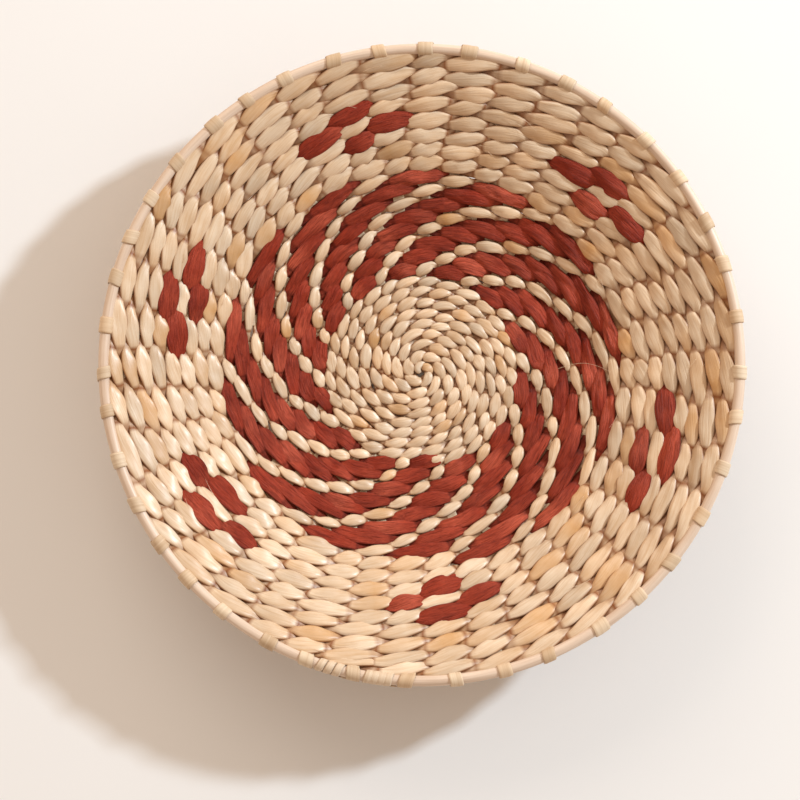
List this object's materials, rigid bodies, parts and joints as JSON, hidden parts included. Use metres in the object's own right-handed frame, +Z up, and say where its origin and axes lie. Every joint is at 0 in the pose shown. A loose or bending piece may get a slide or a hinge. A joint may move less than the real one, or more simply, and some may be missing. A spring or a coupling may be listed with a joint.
{
  "type": "twined dished mat",
  "caption": "Round shallow dished mat of twined leaf strand on radial stakes, with a red swirl ring, red accents and a wrapped hoop rim.",
  "frame": {"origin": "under the middle of the floor, on the surface that the mat rests on", "axes": "+Z up, out of the dish; +X and +Y level, with +X to the right when the dish is seen from above"},
  "size_m": [0.3624, 0.3623, 0.0602],
  "materials": {
    "plain_leaf": "satin, pale straw leaf strand with lengthwise grain",
    "red_raffia": "satin, dyed brick-red fibre with lengthwise wrinkles",
    "stake_leaf": "matte, flat striated leaf strip",
    "hoop_rod": "smooth peeled cane",
    "binding_cord": "matte split strip"
  },
  "bodies": {
    "root": {"rim_hoop": "hoop_rod", "hoop_join_binding": "binding_cord", "first_stakes": "stake_leaf", "second_stakes": "stake_leaf", "third_stakes": "stake_leaf", "fourth_stakes": "stake_leaf", "centre_front_strand": "plain_leaf", "centre_back_strand": "plain_leaf", "ring_red_strand": "red_raffia", "ring_plain_strand": "plain_leaf", "field_front_strand": "plain_leaf", "field_back_strand": "plain_leaf", "accent_1": "red_raffia", "accent_2": "red_raffia", "accent_3": "red_raffia", "accent_4": "red_raffia", "accent_5": "red_raffia", "accent_6": "red_raffia"}
  },
  "joints": []
}
